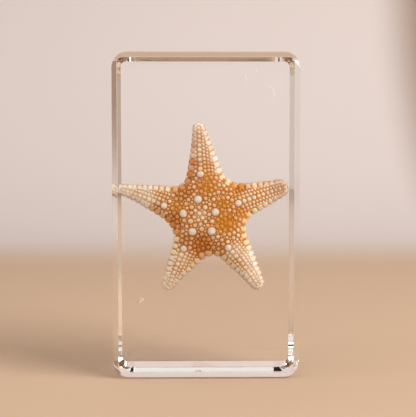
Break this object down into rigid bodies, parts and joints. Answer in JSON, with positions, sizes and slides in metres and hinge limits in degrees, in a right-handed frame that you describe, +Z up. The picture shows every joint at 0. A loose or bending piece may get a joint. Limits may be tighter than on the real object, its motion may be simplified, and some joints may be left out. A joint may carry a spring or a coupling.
{
  "type": "starfish in resin block",
  "caption": "Dried knobby starfish sealed upright in a clear rounded block of cast resin, standing on its short end as a paperweight or shelf specimen.",
  "frame": {"origin": "middle of the block's base", "axes": "+Z up along the block's height, +X to the right as the knobby side of the starfish is seen, +Y through the block towards the back"},
  "size_m": [0.063, 0.028, 0.11],
  "materials": {
    "resin": "clear cast resin, polished",
    "starfish": "dry matt limy skin with pale beads and tan hollows"
  },
  "bodies": {
    "root": {"resin_front": "resin", "resin_back": "resin", "starfish": "starfish"}
  },
  "joints": []
}
